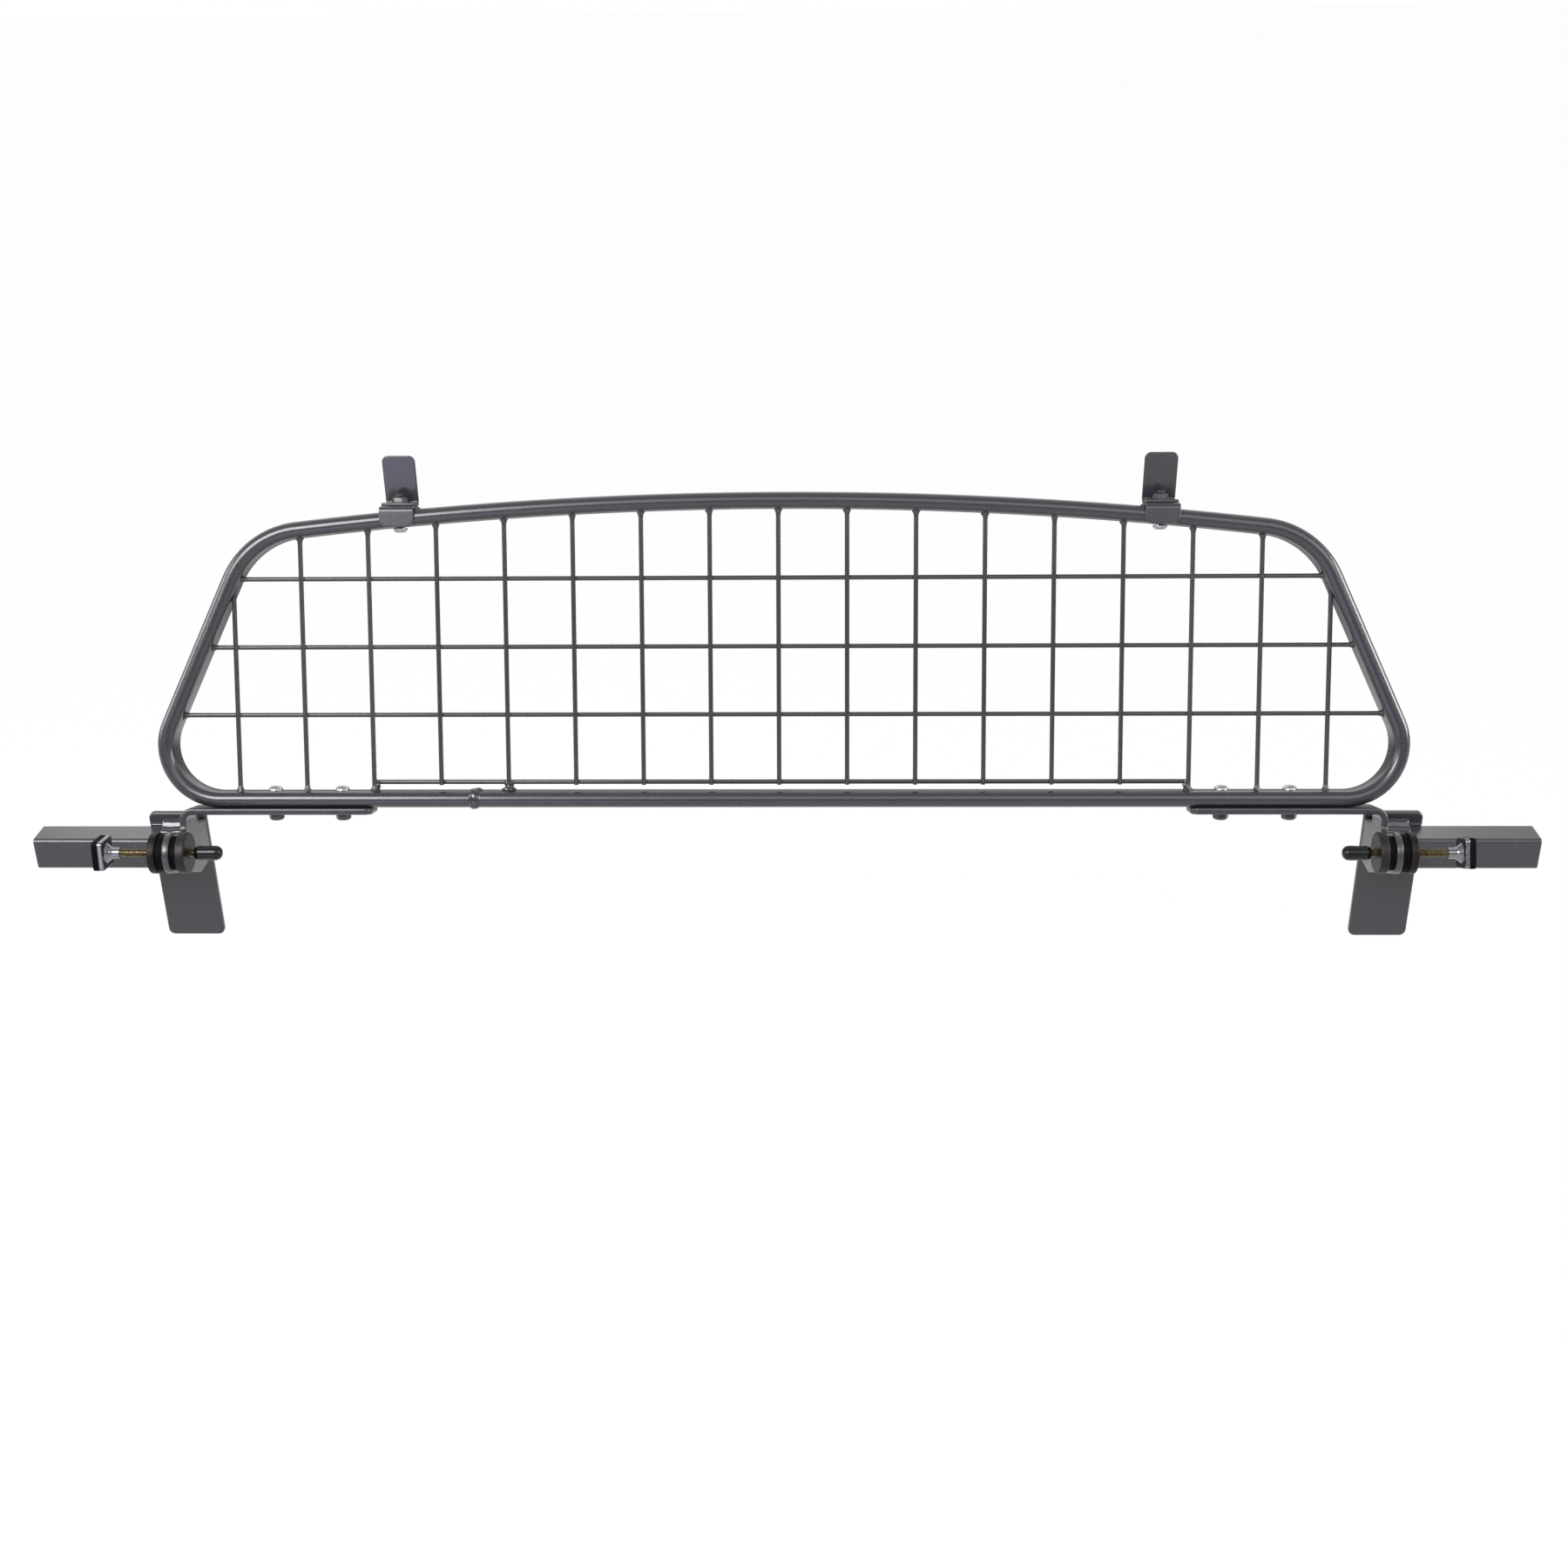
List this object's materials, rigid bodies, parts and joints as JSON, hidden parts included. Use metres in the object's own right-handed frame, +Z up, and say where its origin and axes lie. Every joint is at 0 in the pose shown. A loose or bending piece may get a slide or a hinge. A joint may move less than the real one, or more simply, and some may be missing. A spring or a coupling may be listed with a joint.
{
  "type": "car dog guard",
  "caption": "Wire mesh dog guard in a bent tube hoop, with plate brackets, square arms and screw jacks that brace it across a car's load bay.",
  "frame": {"origin": "middle of the line that both screw jacks share", "axes": "+X to the right along the jacks, seen from the side of the two noses; +Y away from that side, the way that the mesh leans; +Z up, with the plates upright"},
  "size_m": [1.1286, 0.1499, 0.3689],
  "materials": {
    "frame_paint": "satin gunmetal powder coat",
    "mesh_paint": "satin gunmetal powder coat",
    "painted_nut": "satin gunmetal powder coat",
    "bright_screw": "bright zinc",
    "threaded_rod": "yellow zinc",
    "chrome_foot": "bright zinc",
    "wheel": "matte dark grey",
    "rubber": "black",
    "cap": "soft black vinyl with a low gloss"
  },
  "bodies": {
    "root": {"hoop_frame": "frame_paint", "hoop_seam_weld": "frame_paint", "vertical_wire_01": "mesh_paint", "vertical_wire_02": "mesh_paint", "vertical_wire_03": "mesh_paint", "vertical_wire_04": "mesh_paint", "vertical_wire_05": "mesh_paint", "vertical_wire_06": "mesh_paint", "vertical_wire_07": "mesh_paint", "vertical_wire_08": "mesh_paint", "vertical_wire_09": "mesh_paint", "vertical_wire_10": "mesh_paint", "vertical_wire_11": "mesh_paint", "vertical_wire_12": "mesh_paint", "vertical_wire_13": "mesh_paint", "vertical_wire_14": "mesh_paint", "vertical_wire_15": "mesh_paint", "vertical_wire_16": "mesh_paint", "vertical_wire_17": "mesh_paint", "cross_wire_1": "mesh_paint", "cross_wire_2": "mesh_paint", "cross_wire_3": "mesh_paint", "cross_wire_4": "mesh_paint", "left_lower_bracket": "frame_paint", "left_back_plate": "frame_paint", "left_arm_tube": "frame_paint", "left_plate_weld": "frame_paint", "left_saddle": "frame_paint", "left_strap_screws": "bright_screw", "left_strap_nuts": "painted_nut", "left_tab_screw": "bright_screw", "left_tab_nut": "painted_nut", "left_inner_washer": "rubber", "left_outer_washer": "rubber", "right_lower_bracket": "frame_paint", "right_back_plate": "frame_paint", "right_arm_tube": "frame_paint", "right_plate_weld": "frame_paint", "right_saddle": "frame_paint", "right_strap_screws": "bright_screw", "right_strap_nuts": "painted_nut", "right_tab_screw": "bright_screw", "right_tab_nut": "painted_nut", "right_inner_washer": "rubber", "right_outer_washer": "rubber"},
    "left_tab": {"left_top_tab": "frame_paint"},
    "left_outer_wheel": {"left_outer_wheel": "wheel"},
    "left_inner_wheel": {"left_inner_wheel": "wheel"},
    "left_rod": {"left_jack_rod": "threaded_rod", "left_rod_cap": "cap"},
    "left_foot": {"left_jack_foot": "chrome_foot", "left_foot_pad": "rubber"},
    "right_tab": {"right_top_tab": "frame_paint"},
    "right_outer_wheel": {"right_outer_wheel": "wheel"},
    "right_inner_wheel": {"right_inner_wheel": "wheel"},
    "right_rod": {"right_jack_rod": "threaded_rod", "right_rod_cap": "cap"},
    "right_foot": {"right_jack_foot": "chrome_foot", "right_foot_pad": "rubber"}
  },
  "joints": [
    {"name": "left_outer_wheel_turn", "type": "hinge", "parent": "root", "child": "left_outer_wheel", "pos_m": [-0.44945, 0, 0], "axis": [-1, 0, 0], "range_deg": [-1270, 7930]},
    {"name": "left_inner_wheel_turn", "type": "hinge", "parent": "root", "child": "left_inner_wheel", "pos_m": [-0.42795, 0, 0], "axis": [-1, 0, 0], "range_deg": [-1270, 7930]},
    {"name": "left_rod_slide", "type": "slide", "parent": "root", "child": "left_rod", "axis": [-1, 0, 0], "range_m": [-0.022, 0.0035]},
    {"name": "left_foot_turn", "type": "hinge", "parent": "left_rod", "child": "left_foot", "pos_m": [-0.47855, 0, 0], "axis": [-1, 0, 0], "continuous": true},
    {"name": "left_tab_swivel", "type": "hinge", "parent": "root", "child": "left_tab", "pos_m": [-0.2766, 0.12219, 0.22152], "axis": [0, 0.342, 0.9397], "range_deg": [-30, 30]},
    {"name": "right_outer_wheel_turn", "type": "hinge", "parent": "root", "child": "right_outer_wheel", "pos_m": [0.44945, 0, 0], "axis": [1, 0, 0], "range_deg": [-1270, 7930]},
    {"name": "right_inner_wheel_turn", "type": "hinge", "parent": "root", "child": "right_inner_wheel", "pos_m": [0.42795, 0, 0], "axis": [1, 0, 0], "range_deg": [-1270, 7930]},
    {"name": "right_rod_slide", "type": "slide", "parent": "root", "child": "right_rod", "axis": [1, 0, 0], "range_m": [-0.022, 0.0035]},
    {"name": "right_foot_turn", "type": "hinge", "parent": "right_rod", "child": "right_foot", "pos_m": [0.47855, 0, 0], "axis": [1, 0, 0], "continuous": true},
    {"name": "right_tab_swivel", "type": "hinge", "parent": "root", "child": "right_tab", "pos_m": [0.2766, 0.12219, 0.22152], "axis": [0, 0.342, 0.9397], "range_deg": [-30, 30]}
  ],
  "couplings": [
    {"joint": "left_outer_wheel_turn", "follows": "left_rod_slide", "rad_per_m": -6283.2},
    {"joint": "left_inner_wheel_turn", "follows": "left_rod_slide", "rad_per_m": -6283.2},
    {"joint": "right_outer_wheel_turn", "follows": "right_rod_slide", "rad_per_m": -6283.2},
    {"joint": "right_inner_wheel_turn", "follows": "right_rod_slide", "rad_per_m": -6283.2}
  ]
}
